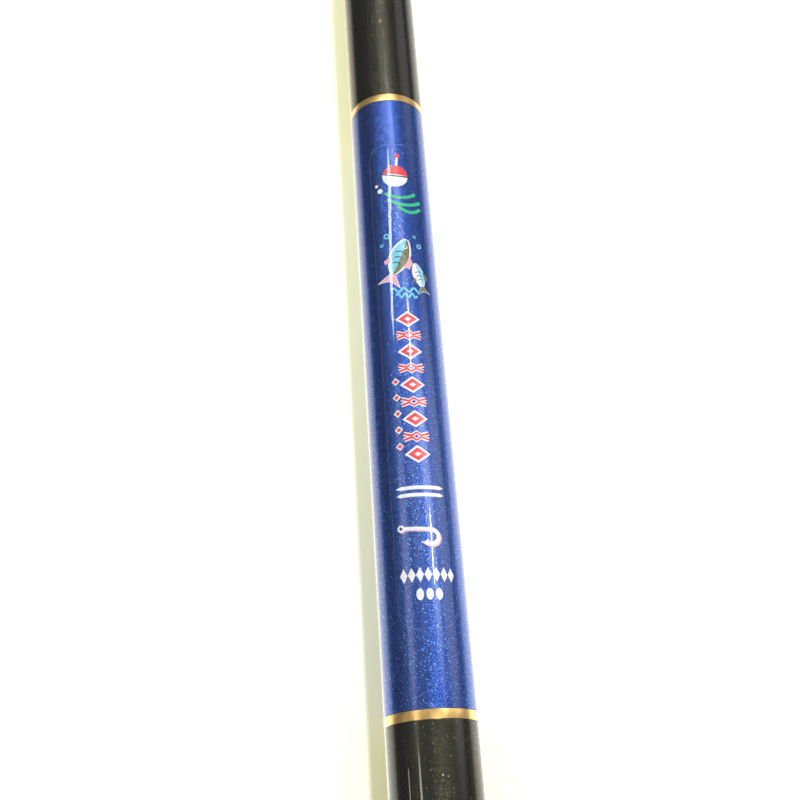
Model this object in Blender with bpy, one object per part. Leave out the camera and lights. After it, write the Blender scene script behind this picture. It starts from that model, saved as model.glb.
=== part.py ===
"""A telescopic hand pole, 4.5 m long when it is drawn out, closed and lying level on a table.

Eight tapered tubes nest in each other. The pole is laid out from its tip: every section is as wide as it
has to be for the one inside it to wedge in its mouth, so the butt's width comes out of the taper and the
walls. Stations are distances along the pole's axis from the butt tube's rear end, towards the tip, in metres.
"""

import math

import bmesh
import bpy

# The nest of tubes
TAPER_RATIO = 0.0016  # radius lost over each unit of length
WEDGE_OVERLAP = 0.045  # how much of a section stays inside the one behind it when drawn out
WEDGE_GAP = 0.00008  # between the two cones there
BUTT_LENGTH = 0.640
BUTT_WALL = 0.0009
MOUTH_ROOM = 0.011  # between the mouth of section 2, the first inside the butt, and the plug
MOUTH_STEP = 0.003  # how much shorter each further section is
SECTION_WALL = 0.0007  # section 2
WALL_STEP = 0.00007  # how much thinner each further section's wall is
SECTION_COUNT = 8
MOUTH_CHAMFER = 0.00012

# The tip section: a hollow rear length with a solid tip spliced into it
TIP_RADIUS = 0.00035
TIP_TUBE_LENGTH = 0.360
TIP_TUBE_WALL = 0.0003
SPLICE_LENGTH = 0.025
SPLICE_GAP = 0.00005

# The braid at the tip that the line is tied to, and its ferrule
BRAID_LENGTH = 0.0240
BRAID_ROOM = 0.010  # between its end and the bottom of the plug's bore
BRAID_RADIUS = 0.00060
BRAID_NECK_RADIUS = 0.00040
KNOT_RADIUS = 0.00115
KNOT_LENGTH = 0.0030
KNOT_TAIL = 0.0020
FERRULE_LENGTH = 0.0090
FERRULE_ON_TIP = 0.0060
FERRULE_WALL = 0.00035
FERRULE_GAP = 0.00008

# The extra turns of cloth that strengthen each section behind its mouth
COLLAR_LENGTH = 0.018
COLLAR_THICKNESS = 0.00018
COLLAR_RUN_OUT = 0.003

# The label length of the butt: a film wrap between two gold bands, sunk flush in the lacquer
LABEL_START = 0.300
LABEL_LENGTH = 0.1825
BAND_WIDTH = 0.0023
BAND_THICKNESS = 0.00028
FILM_THICKNESS = 0.00025
WRAP_GAP = 0.00010
SEAM_GAP = 0.00010

# The non-slip sleeve on the rear of the butt
GRIP_START = 0.0010
GRIP_LENGTH = 0.235
GRIP_THICKNESS = 0.00060
GRIP_EDGE_LENGTH = 0.0040
GRIP_EDGE_STEP = 0.00020
GRIP_ROUNDING = 0.00025

# The hoop round the butt's mouth
HOOP_LENGTH = 0.0140
HOOP_THICKNESS = 0.00050
HOOP_LIP = 0.00090
HOOP_GROOVE_DEPTH = 0.00018
HOOP_GROOVE_WIDTH = 0.0010
HOOP_GROOVE_INSET = 0.0030  # from each end of the hoop to its groove
HOOP_ROUNDING = 0.00030

# The screw cap in the butt's rear end
CAP_PROUD = 0.00035  # how far its rim stands outside the grip sleeve
CAP_RIM_LENGTH = 0.0070
CAP_ROUNDING = 0.0012
SHOULDER_ROUNDING = 0.00040  # on the inner edges of the cap's rim and of the plug's head
CAP_FLOOR = 0.0040
CAP_CUP_WALL = 0.0017
COIN_SLOT_WIDTH = 0.0022
COIN_SLOT_LENGTH = 0.0170
COIN_SLOT_DEPTH = 0.0022
THREAD_LENGTH = 0.0075
THREAD_GAP = 0.00015
BUSH_LENGTH = 0.0096
BUSH_GAP = 0.00015
BUSH_CLEARANCE = 0.00025  # so that section 2 can be drawn out of the rear end
SEAL_RADIUS = 0.00060
SEAL_GAP = 0.00010
SEAL_LAND = 0.0017  # length of the spigot that the seal's groove takes
BUFFER_THICKNESS = 0.0030
BUFFER_ROUNDING = 0.00040

# The stopper plug in the butt's mouth
PLUG_HEAD_LENGTH = 0.0130
PLUG_ROUNDING = 0.0020
PLUG_DISH_RADIUS = 0.0070
PLUG_DISH_DEPTH = 0.0008
PLUG_STOPPER_LENGTH = 0.0168
PLUG_RIBS = 4
PLUG_RIB_HEIGHT = 0.00060
PLUG_RIB_SHARE = 0.45  # of the stopper's length that the ribs take
PLUG_BORE_GAP = 0.00015
CORE_RADIUS = 0.0046
CORE_BORE = 0.0028
CORE_BORE_DEPTH = 0.0060  # how far the core's bore runs on into the head
CORE_RIM = 0.0010  # how far the core stands out behind the stopper

# The grip flutes that the cap and the plug share. Each lies within one facet of the rim
FLUTES = 16
FLUTE_RADIUS = 0.0021
FLUTE_DEPTH = 0.00042

SEAT_GAP = 0.0003  # between pieces that rest on each other
MERGE = 1e-7

# Facets round a turned piece, by its radius
THICK_RADIUS = 0.0090
MIDDLE_RADIUS = 0.0040
THIN_RADIUS = 0.0012
SIDES_ABOVE = ((THICK_RADIUS, 32), (MIDDLE_RADIUS, 24), (THIN_RADIUS, 16), (0.0, 12))
FLUTE_SIDES = 16
SLOT_END_STEPS = 6
SHARP_ANGLE = math.radians(30)
CHAMFER_LIMIT = 0.00030  # a rounding up to this size is one flat
FILLET_STEPS = 3
SEAL_SIDES = 8


# Stations along the closed pole
SPIGOT_LENGTH = SEAL_LAND + THREAD_LENGTH
CAP_STATION = -SEAT_GAP
NEST_STATION = CAP_STATION + SPIGOT_LENGTH + SEAT_GAP + BUFFER_THICKNESS + SEAT_GAP
PLUG_STATION = BUTT_LENGTH + SEAT_GAP + HOOP_LIP + SEAT_GAP
CORE_LENGTH = SEAT_GAP + PLUG_STOPPER_LENGTH + CORE_RIM
REAR_END = CAP_STATION - CAP_RIM_LENGTH
FRONT_END = PLUG_STATION + PLUG_HEAD_LENGTH
MIDDLE = (REAR_END + FRONT_END) / 2

# What the butt leaves room for
SECTION_LENGTH = PLUG_STATION - CORE_LENGTH - MOUTH_ROOM - NEST_STATION
TIP_LENGTH = PLUG_STATION + CORE_BORE_DEPTH - BRAID_ROOM - BRAID_LENGTH - NEST_STATION
TIP_REAR_RADIUS = TIP_RADIUS + TAPER_RATIO * TIP_LENGTH


class Tube:
    """One section's outer cone and wall, with its stations counted from its own rear end."""

    def __init__(self, length, wall, inner_rear_radius):
        self.length = length
        self.wall = wall
        self.mouth_bore = inner_rear_radius - TAPER_RATIO * WEDGE_OVERLAP + WEDGE_GAP
        self.mouth_radius = self.mouth_bore + wall
        self.rear_radius = self.mouth_radius + TAPER_RATIO * length

    def radius(self, station):
        return self.rear_radius - TAPER_RATIO * station

    def bore(self, station):
        return self.radius(station) - self.wall


def nest():
    """The tubes by their number, the butt as 1, each laid out round the rear end of the next one in."""
    tubes = {}
    rear_radius = TIP_REAR_RADIUS
    for place in reversed(range(SECTION_COUNT - 2)):
        length = SECTION_LENGTH - MOUTH_STEP * place
        wall = SECTION_WALL - WALL_STEP * place
        tube = Tube(length, wall, rear_radius)
        tubes[place + 2] = tube
        rear_radius = tube.rear_radius
    tubes[1] = Tube(BUTT_LENGTH, BUTT_WALL, rear_radius)
    return tubes


TUBES = nest()
BUTT = TUBES[1]

# What the butt's width settles
GRIP_RADIUS = BUTT.radius(GRIP_START) + WRAP_GAP + GRIP_THICKNESS
RIM_RADIUS = GRIP_RADIUS + CAP_PROUD
BUSH_BORE = TUBES[2].rear_radius + BUSH_CLEARANCE
THREAD_RADIUS = BUSH_BORE - THREAD_GAP
CUP_BORE = THREAD_RADIUS - CAP_CUP_WALL


def sides_for(radius):
    """How many facets go round a piece of that radius."""
    return next(sides for least, sides in SIDES_ABOVE if radius > least)


# The pole lies on the bottom facet of the cap's rim and of the plug's head
AXIS_HEIGHT = RIM_RADIUS * math.cos(math.pi / sides_for(RIM_RADIUS))


def material(name, colour, roughness, metallic=0.0, coat=0.0):
    made = bpy.data.materials.new(name)
    made.use_nodes = True
    shader = made.node_tree.nodes["Principled BSDF"]
    shader.inputs["Base Color"].default_value = (*colour, 1.0)
    shader.inputs["Roughness"].default_value = roughness
    shader.inputs["Metallic"].default_value = metallic
    shader.inputs["Coat Weight"].default_value = coat
    made.diffuse_color = (*colour, 1.0)
    return made


def empty(name, parent=None, station=0.0):
    made = bpy.data.objects.new(name, None)
    made.parent = parent
    made.location.z = station
    bpy.context.collection.objects.link(made)
    return made


def rounded(corners):
    """An outline with its corners rounded. A corner is (station, radius) or (station, radius, rounding)."""
    outline = []
    for i, corner in enumerate(corners):
        if len(corner) == 2 or corner[2] <= 0:
            outline.append(corner[:2])
            continue
        here = corner[:2]
        before = corners[i - 1][:2]
        after = corners[(i + 1) % len(corners)][:2]
        steps = 1 if corner[2] <= CHAMFER_LIMIT else FILLET_STEPS
        for step in range(steps + 1):
            outline.append(fillet_point(before, here, after, corner[2], step / steps))
    return outline


def fillet_point(before, here, after, size, share):
    """A point of the curve that starts and ends that far from the corner, on its two sides."""
    start = moved_towards(here, before, size)
    end = moved_towards(here, after, size)
    weights = ((1 - share) ** 2, 2 * share * (1 - share), share**2)
    return tuple(
        sum(w * p[axis] for w, p in zip(weights, (start, here, end))) for axis in (0, 1)
    )


def moved_towards(point, target, distance):
    run = math.dist(point, target)
    share = min(distance / run, 0.5)
    return tuple(a + (b - a) * share for a, b in zip(point, target))


def finished(name, shape, finish, parent, station):
    """The object of a bmesh, shaded smooth across its facets and sharp at its edges."""
    bmesh.ops.recalc_face_normals(shape, faces=shape.faces)
    mesh = bpy.data.meshes.new(name)
    shape.to_mesh(mesh)
    shape.free()
    mesh.shade_smooth()
    mesh.set_sharp_from_angle(angle=SHARP_ANGLE)
    mesh.materials.append(finish)
    made = bpy.data.objects.new(name, mesh)
    made.parent = parent
    made.location.z = station
    bpy.context.collection.objects.link(made)
    return made


def turned(name, corners, finish, parent, station=0.0):
    """A solid of revolution. Its corners run round the half section, from axis to axis if it is solid."""
    outline = rounded(corners)
    widest = max(radius for _, radius in outline)
    sides = sides_for(widest)
    half_step = math.pi / sides
    shape = bmesh.new()
    verts = [
        shape.verts.new((radius * math.cos(half_step), radius * math.sin(half_step), along))
        for along, radius in outline
    ]
    for a, b in zip(verts, verts[1:]):
        shape.edges.new((a, b))
    if outline[0][1] > 0:
        shape.edges.new((verts[-1], verts[0]))
    bmesh.ops.spin(
        shape,
        geom=shape.verts[:] + shape.edges[:],
        cent=(0, 0, 0),
        axis=(0, 0, 1),
        steps=sides,
        angle=2 * math.pi,
    )
    bmesh.ops.remove_doubles(shape, verts=shape.verts, dist=MERGE)
    return finished(name, shape, finish, parent, station)


def cut(target, name, shape):
    """Takes a hidden shape, in the target's own space, out of the target."""
    cutter = finished(name, shape, FINISHES["cutter"], target.parent, target.location.z)
    cutter.hide_render = True
    cutter.display_type = "WIRE"
    modifier = target.modifiers.new(name, "BOOLEAN")
    modifier.operation = "DIFFERENCE"
    modifier.object = cutter


def cut_flutes(target, start, end):
    """Straight grip flutes round a rim, from one station of the piece to another."""
    out = RIM_RADIUS - FLUTE_DEPTH + FLUTE_RADIUS
    shape = bmesh.new()
    for i in range(FLUTES):
        angle = 2 * math.pi * i / FLUTES
        made = bmesh.ops.create_cone(
            shape,
            cap_ends=True,
            segments=FLUTE_SIDES,
            radius1=FLUTE_RADIUS,
            radius2=FLUTE_RADIUS,
            depth=2 * (end - start),
        )
        centre = (out * math.cos(angle), out * math.sin(angle), (start + end) / 2)
        bmesh.ops.translate(shape, verts=made["verts"], vec=centre)
    cut(target, target.name + "_flutes", shape)


def cut_coin_slot(target, rear):
    """A slot across the cap's rear face, with round ends."""
    round_end = COIN_SLOT_WIDTH / 2
    straight = COIN_SLOT_LENGTH / 2 - round_end
    shape = bmesh.new()
    outline = []
    for i in range(SLOT_END_STEPS + 1):
        angle = math.pi * (i / SLOT_END_STEPS - 0.5)
        outline.append((straight + round_end * math.cos(angle), round_end * math.sin(angle)))
    outline += [(-x, -y) for x, y in outline]
    floor = rear + COIN_SLOT_DEPTH
    face = shape.faces.new([shape.verts.new((x, y, floor)) for x, y in outline])
    grown = bmesh.ops.extrude_face_region(shape, geom=[face])
    moved = [v for v in grown["geom"] if isinstance(v, bmesh.types.BMVert)]
    bmesh.ops.translate(shape, verts=moved, vec=(0, 0, -2 * COIN_SLOT_DEPTH))
    cut(target, target.name + "_slot", shape)


def butt_tube(parent):
    """The handle tube. Its lacquer stops short of the label, so the film and the bands lie flush."""
    seat = WRAP_GAP + FILM_THICKNESS
    start = LABEL_START
    end = LABEL_START + LABEL_LENGTH + 2 * BAND_WIDTH + 4 * SEAM_GAP
    corners = [
        (0, BUTT.radius(0), MOUTH_CHAMFER),
        (start, BUTT.radius(start)),
        (start, BUTT.radius(start) - seat),
        (end, BUTT.radius(end) - seat),
        (end, BUTT.radius(end)),
        (BUTT_LENGTH, BUTT.mouth_radius, MOUTH_CHAMFER),
        (BUTT_LENGTH, BUTT.mouth_bore, MOUTH_CHAMFER),
        (0, BUTT.bore(0), MOUTH_CHAMFER),
    ]
    turned("butt_tube", corners, FINISHES["olive_lacquer"], parent)


def wrap(name, start, length, thickness, finish, parent):
    """A thin layer round the label's seat, following the tube's cone."""
    rear, front = (BUTT.radius(along) - FILM_THICKNESS for along in (start, start + length))
    corners = [
        (0, rear + thickness),
        (length, front + thickness),
        (length, front),
        (0, rear),
    ]
    turned(name, corners, FINISHES[finish], parent, start)


def label(parent):
    """The film and its two bands, one after the other along the seat."""
    layers = (
        ("rear_gold_band", BAND_WIDTH, BAND_THICKNESS, "gold"),
        ("label_wrap", LABEL_LENGTH, FILM_THICKNESS, "blue_flake"),
        ("front_gold_band", BAND_WIDTH, BAND_THICKNESS, "gold"),
    )
    start = LABEL_START + SEAM_GAP
    for name, length, thickness, finish in layers:
        wrap(name, start, length, thickness, finish, parent)
        start += length + SEAM_GAP


def grip_sleeve(parent):
    """A shrunk rubber sleeve with a low bead at each end."""
    end = GRIP_LENGTH

    def inside(along):
        return BUTT.radius(GRIP_START + along) + WRAP_GAP

    def outside(along):
        return inside(along) + GRIP_THICKNESS

    corners = [(0, outside(0), GRIP_ROUNDING)]
    for edge, field in ((GRIP_EDGE_LENGTH, 1), (end - GRIP_EDGE_LENGTH, -1)):
        step = [(edge, outside(edge)), (edge, outside(edge) - GRIP_EDGE_STEP)]
        corners += step[::field]
    corners += [(end, outside(end), GRIP_ROUNDING), (end, inside(end)), (0, inside(0))]
    turned("grip_sleeve", corners, FINISHES["rubber"], parent, GRIP_START)


def mouth_hoop(parent):
    """A metal hoop that keeps the mouth from splitting, with a lip over the tube's end and two grooves."""
    start = BUTT_LENGTH + SEAT_GAP + HOOP_LIP - HOOP_LENGTH
    outside = BUTT.radius(start) + WRAP_GAP + HOOP_THICKNESS
    lip = HOOP_LENGTH - HOOP_LIP
    bore = BUTT.mouth_bore + WRAP_GAP
    inside_rear = BUTT.radius(start) + WRAP_GAP
    inside_front = BUTT.mouth_radius + WRAP_GAP
    corners = [(0, outside, HOOP_ROUNDING)]
    half = HOOP_GROOVE_WIDTH / 2
    for middle in (HOOP_GROOVE_INSET, HOOP_LENGTH - HOOP_GROOVE_INSET):
        corners += [
            (middle - half, outside),
            (middle - half / 2, outside - HOOP_GROOVE_DEPTH),
            (middle + half / 2, outside - HOOP_GROOVE_DEPTH),
            (middle + half, outside),
        ]
    corners += [
        (HOOP_LENGTH, outside, HOOP_ROUNDING),
        (HOOP_LENGTH, bore, HOOP_ROUNDING),
        (lip, bore),
        (lip, inside_front),
        (0, inside_rear),
    ]
    turned("mouth_hoop", corners, FINISHES["gold"], parent, start)


def thread_bush(parent):
    """The insert bonded in the butt's rear end that the cap screws into."""
    start = CAP_STATION + SEAL_LAND + SEAT_GAP
    outside = [BUTT.bore(start + along) - BUSH_GAP for along in (0, BUSH_LENGTH)]
    corners = [
        (0, outside[0]),
        (BUSH_LENGTH, outside[1]),
        (BUSH_LENGTH, BUSH_BORE, MOUTH_CHAMFER),
        (0, BUSH_BORE, MOUTH_CHAMFER),
    ]
    turned("thread_bush", corners, FINISHES["aluminium"], parent, start)


def cap_seal(parent):
    """The ring in the groove at the spigot's root."""
    centre = BUTT.bore(0) - SEAL_GAP - SEAL_RADIUS
    corners = []
    for i in range(SEAL_SIDES):
        angle = 2 * math.pi * (i + 0.5) / SEAL_SIDES
        corners.append((SEAL_RADIUS * math.sin(angle), centre + SEAL_RADIUS * math.cos(angle)))
    turned("cap_seal", corners, FINISHES["rubber"], parent, SEAL_LAND / 2)


def butt_cap(parent):
    """A turned cap: a fluted rim with a coin slot, and a hollow spigot that carries the thread."""
    rear = -CAP_RIM_LENGTH
    groove = BUTT.bore(0) - 2 * (SEAL_GAP + SEAL_RADIUS)
    corners = [
        (rear, 0),
        (rear, RIM_RADIUS, CAP_ROUNDING),
        (0, RIM_RADIUS, SHOULDER_ROUNDING),
        (0, groove),
        (SEAL_LAND, groove),
        (SEAL_LAND, THREAD_RADIUS, THREAD_GAP),
        (SPIGOT_LENGTH, THREAD_RADIUS, THREAD_GAP),
        (SPIGOT_LENGTH, CUP_BORE),
        (rear + CAP_FLOOR, CUP_BORE),
        (rear + CAP_FLOOR, 0),
    ]
    made = turned("butt_cap", corners, FINISHES["aluminium"], parent)
    cut_flutes(made, rear, 0)
    cut_coin_slot(made, rear)


def cap_buffer(parent):
    """The rubber pad that the closed sections rest on, plugged into the cap's cup."""
    floor = -CAP_RIM_LENGTH + CAP_FLOOR + SEAT_GAP
    shoulder = SPIGOT_LENGTH + SEAT_GAP
    face = shoulder + BUFFER_THICKNESS
    corners = [
        (floor, 0),
        (floor, CUP_BORE - SEAT_GAP),
        (shoulder, CUP_BORE - SEAT_GAP),
        (shoulder, THREAD_RADIUS - WRAP_GAP),
        (face, THREAD_RADIUS - WRAP_GAP, BUFFER_ROUNDING),
        (face, 0),
    ]
    turned("cap_buffer", corners, FINISHES["rubber"], parent)


def section(number, parent):
    """One nested tube, with the low collar of extra cloth behind its mouth."""
    tube = TUBES[number]
    collar = tube.length - COLLAR_LENGTH
    corners = [
        (0, tube.radius(0), MOUTH_CHAMFER),
        (collar - COLLAR_RUN_OUT, tube.radius(collar - COLLAR_RUN_OUT)),
        (collar, tube.radius(collar) + COLLAR_THICKNESS),
        (tube.length, tube.mouth_radius + COLLAR_THICKNESS, MOUTH_CHAMFER),
        (tube.length, tube.mouth_bore, MOUTH_CHAMFER),
        (0, tube.bore(0), MOUTH_CHAMFER),
    ]
    turned(f"section_{number}", corners, FINISHES["olive_lacquer"], parent)


def tip_tube(parent):
    def radius(along):
        return TIP_REAR_RADIUS - TAPER_RATIO * along

    corners = [
        (0, radius(0), MOUTH_CHAMFER),
        (TIP_TUBE_LENGTH, radius(TIP_TUBE_LENGTH)),
        (TIP_TUBE_LENGTH, radius(TIP_TUBE_LENGTH) - TIP_TUBE_WALL),
        (0, radius(0) - TIP_TUBE_WALL),
    ]
    turned("tip_tube", corners, FINISHES["olive_lacquer"], parent)


def solid_tip(parent):
    """The solid tip, with a spigot glued into the tip tube."""
    shoulder = TIP_TUBE_LENGTH + SPLICE_GAP
    spigot = TIP_REAR_RADIUS - TAPER_RATIO * TIP_TUBE_LENGTH - TIP_TUBE_WALL - SPLICE_GAP
    corners = [
        (shoulder - SPLICE_LENGTH, 0),
        (shoulder - SPLICE_LENGTH, spigot, SPLICE_GAP),
        (shoulder, spigot),
        (shoulder, TIP_REAR_RADIUS - TAPER_RATIO * shoulder),
        (TIP_LENGTH, TIP_RADIUS),
        (TIP_LENGTH, 0),
    ]
    turned("solid_tip", corners, FINISHES["tip_white"], parent)


def tip_ferrule(parent):
    """The sleeve that clamps the braid onto the tip."""
    bore = max(TIP_RADIUS + TAPER_RATIO * FERRULE_ON_TIP, BRAID_NECK_RADIUS) + FERRULE_GAP
    corners = [
        (0, bore + FERRULE_WALL, FERRULE_WALL / 2),
        (FERRULE_LENGTH, bore + FERRULE_WALL, FERRULE_WALL / 2),
        (FERRULE_LENGTH, bore),
        (0, bore),
    ]
    start = TIP_LENGTH - FERRULE_ON_TIP
    turned("tip_ferrule", corners, FINISHES["aluminium"], parent, start)


def line_braid(parent):
    """The short braid that the line is looped onto, ending in its knot."""
    neck = FERRULE_LENGTH - FERRULE_ON_TIP
    knot_start = BRAID_LENGTH - KNOT_TAIL - KNOT_LENGTH
    knot_shoulder = KNOT_LENGTH / 4
    corners = [
        (SEAT_GAP, 0),
        (SEAT_GAP, BRAID_NECK_RADIUS),
        (neck + SEAT_GAP, BRAID_NECK_RADIUS),
        (neck + SEAT_GAP, BRAID_RADIUS),
        (knot_start, BRAID_RADIUS),
        (knot_start + knot_shoulder, KNOT_RADIUS),
        (knot_start + KNOT_LENGTH - knot_shoulder, KNOT_RADIUS),
        (knot_start + KNOT_LENGTH, BRAID_RADIUS),
        (BRAID_LENGTH, BRAID_RADIUS, BRAID_RADIUS / 2),
        (BRAID_LENGTH, 0),
    ]
    turned("line_braid", corners, FINISHES["braid"], parent, TIP_LENGTH)


def plug_head(parent):
    """The plug's fluted head, and the hollow core behind it that shields the tip."""
    corners = [
        (CORE_BORE_DEPTH, 0),
        (CORE_BORE_DEPTH, CORE_BORE),
        (-CORE_LENGTH, CORE_BORE, MOUTH_CHAMFER),
        (-CORE_LENGTH, CORE_RADIUS, MOUTH_CHAMFER),
        (0, CORE_RADIUS),
        (0, RIM_RADIUS, SHOULDER_ROUNDING),
        (PLUG_HEAD_LENGTH, RIM_RADIUS, PLUG_ROUNDING),
        (PLUG_HEAD_LENGTH, PLUG_DISH_RADIUS),
        (PLUG_HEAD_LENGTH - PLUG_DISH_DEPTH, PLUG_DISH_RADIUS - PLUG_DISH_DEPTH),
        (PLUG_HEAD_LENGTH - PLUG_DISH_DEPTH, 0),
    ]
    made = turned("plug_head", corners, FINISHES["black_plastic"], parent)
    cut_flutes(made, 0, PLUG_HEAD_LENGTH)


def plug_stopper(parent):
    """The rubber that holds the plug in the mouth, with soft ribs round it."""
    outside = BUTT.mouth_bore - PLUG_BORE_GAP
    floor = outside - PLUG_RIB_HEIGHT
    bore = CORE_RADIUS + PLUG_BORE_GAP
    pitch = PLUG_STOPPER_LENGTH / PLUG_RIBS
    rib = pitch * PLUG_RIB_SHARE
    front = -SEAT_GAP
    rear = front - PLUG_STOPPER_LENGTH
    corners = [(rear, floor)]
    for i in range(PLUG_RIBS):
        middle = rear + pitch * (i + 0.5)
        corners += [
            (middle - rib / 2, floor),
            (middle - rib / 4, outside),
            (middle + rib / 4, outside),
            (middle + rib / 2, floor),
        ]
    corners += [(front, floor), (front, bore), (rear, bore)]
    turned("plug_stopper", corners, FINISHES["rubber"], parent)


def build():
    pole = empty("pole_axis")
    pole.rotation_euler.x = -math.pi / 2
    pole.location = (0, -MIDDLE, AXIS_HEIGHT)

    butt_tube(pole)
    label(pole)
    grip_sleeve(pole)
    mouth_hoop(pole)
    thread_bush(pole)

    cap_slide = empty("cap_slide", pole, CAP_STATION)
    cap_seal(cap_slide)
    cap_turn = empty("cap_turn", cap_slide)
    butt_cap(cap_turn)
    cap_buffer(cap_turn)

    carrier = empty("section_2_slide", pole, NEST_STATION)
    section(2, carrier)
    for number in range(3, SECTION_COUNT):
        carrier = empty(f"section_{number}_slide", carrier)
        section(number, carrier)

    tip_slide = empty("tip_slide", carrier)
    tip_tube(tip_slide)
    solid_tip(tip_slide)
    tip_ferrule(tip_slide)
    line_braid(tip_slide)

    plug_slide = empty("plug_slide", tip_slide, PLUG_STATION - NEST_STATION)
    plug_head(plug_slide)
    plug_stopper(plug_slide)


for old in list(bpy.data.objects):
    bpy.data.objects.remove(old)

FINISHES = {
    "olive_lacquer": material("olive_lacquer", (0.020, 0.019, 0.012), 0.25, 0.0, 1.0),
    "blue_flake": material("blue_flake", (0.030, 0.075, 0.330), 0.30, 0.4, 1.0),
    "gold": material("gold", (0.830, 0.560, 0.210), 0.25, 1.0),
    "rubber": material("rubber", (0.022, 0.022, 0.023), 0.75),
    "aluminium": material("aluminium", (0.640, 0.640, 0.650), 0.30, 1.0),
    "tip_white": material("tip_white", (0.700, 0.650, 0.560), 0.35),
    "braid": material("braid", (0.550, 0.030, 0.020), 0.80),
    "black_plastic": material("black_plastic", (0.018, 0.018, 0.019), 0.45),
    "cutter": material("cutter", (1.0, 0.0, 1.0), 1.0),
}

build()
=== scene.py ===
from math import atan2, ceil, cos, hypot, inf, pi, radians, sin

import bpy
import numpy as np
from mathutils import Matrix, Vector


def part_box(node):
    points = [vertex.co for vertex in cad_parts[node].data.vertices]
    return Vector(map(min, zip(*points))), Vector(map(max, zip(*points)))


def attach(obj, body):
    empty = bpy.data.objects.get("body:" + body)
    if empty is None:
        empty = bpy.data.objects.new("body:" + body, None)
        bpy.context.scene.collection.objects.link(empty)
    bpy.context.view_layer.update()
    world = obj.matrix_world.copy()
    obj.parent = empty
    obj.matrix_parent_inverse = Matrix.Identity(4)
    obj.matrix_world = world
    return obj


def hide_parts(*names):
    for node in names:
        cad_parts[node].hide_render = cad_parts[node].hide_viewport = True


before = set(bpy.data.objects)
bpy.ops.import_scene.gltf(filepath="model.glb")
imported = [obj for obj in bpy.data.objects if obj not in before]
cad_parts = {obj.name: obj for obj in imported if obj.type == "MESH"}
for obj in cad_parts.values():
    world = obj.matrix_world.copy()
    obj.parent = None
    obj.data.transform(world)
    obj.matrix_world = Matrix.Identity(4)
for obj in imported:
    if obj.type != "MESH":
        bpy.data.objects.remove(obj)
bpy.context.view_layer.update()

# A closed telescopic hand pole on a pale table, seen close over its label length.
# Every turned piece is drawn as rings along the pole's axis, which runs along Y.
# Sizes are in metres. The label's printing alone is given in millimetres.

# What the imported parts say
CAD_SIDES = 32  # facets of the thick CAD tubes
CAP_LOW, CAP_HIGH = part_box("butt_cap")
AXIS = (CAP_LOW.z + CAP_HIGH.z) / 2
RIM_RADIUS = (CAP_HIGH.x - CAP_LOW.x) / 2
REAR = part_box("butt_tube")[0].y
TAPER = 0.0016  # radius lost along each metre


def ends_of(node):
    """Where a node starts and ends along the axis."""
    low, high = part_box(node)
    return low.y, high.y


def girth_of(node, sides=CAD_SIDES):
    """The widest radius of a node whose facets face straight sideways."""
    low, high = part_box(node)
    return (high.x - low.x) / 2 / cos(pi / sides)


BUTT_REAR_RADIUS = girth_of("butt_tube")


def butt_radius(y):
    return BUTT_REAR_RADIUS - TAPER * (y - REAR)


def on_butt(y, depth=0.0):
    """A ring on the butt's cone, or at a depth below it."""
    return y, butt_radius(y) - depth


# Wall thicknesses and clearances
BUTT_WALL = 0.0009
FILM = 0.00025
WRAP_GAP = 0.00010
TIP_WALL = 0.0003

# Sides of the turned pieces
LABEL_ROUND = 192  # the butt and its label, which are seen from close by
ROUND = 160
SMALL_ROUND = 128
TIP_ROUND = 64
FLUTED = 320

SMOOTH_ANGLE = radians(35)
BEVEL_ANGLE = radians(30)
TOLERANCE = 1e-6
POINT = 1e-7  # a radius that draws a ring together


# Modelling

def deselect():
    if bpy.context.object and bpy.context.object.mode != "OBJECT":
        bpy.ops.object.mode_set(mode="OBJECT")
    bpy.ops.object.select_all(action="DESELECT")


def apply_modifier(piece, kind, **settings):
    bpy.context.view_layer.objects.active = piece
    modifier = piece.modifiers.new(kind.title(), kind)
    for name, value in settings.items():
        setattr(modifier, name, value)
    bpy.ops.object.modifier_apply(modifier=modifier.name)


def bevelled(piece, width, segments=2):
    settings = {"limit_method": "ANGLE", "angle_limit": BEVEL_ANGLE, "harden_normals": False}
    apply_modifier(piece, "BEVEL", width=width, segments=segments, **settings)


def smoothed(piece):
    """Shades a piece smooth, with each long face keeping its own straight normals."""
    deselect()
    piece.select_set(True)
    bpy.context.view_layer.objects.active = piece
    bpy.ops.object.shade_smooth_by_angle(angle=SMOOTH_ANGLE)
    apply_modifier(piece, "WEIGHTED_NORMAL", weight=90, keep_sharp=True)


def carry(ring, to):
    """Extrudes the selected ring to the next one. A radius of 0 draws it together into a point."""
    bpy.ops.mesh.extrude_region_move(TRANSFORM_OT_translate={"value": (0, to[0] - ring[0], 0)})
    scale = max(to[1], POINT) / ring[1]
    bpy.ops.transform.resize(value=(scale, 1, scale), center_override=(0, to[0], AXIS))
    if to[1] == 0:
        bpy.ops.mesh.merge(type="CENTER")


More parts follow.
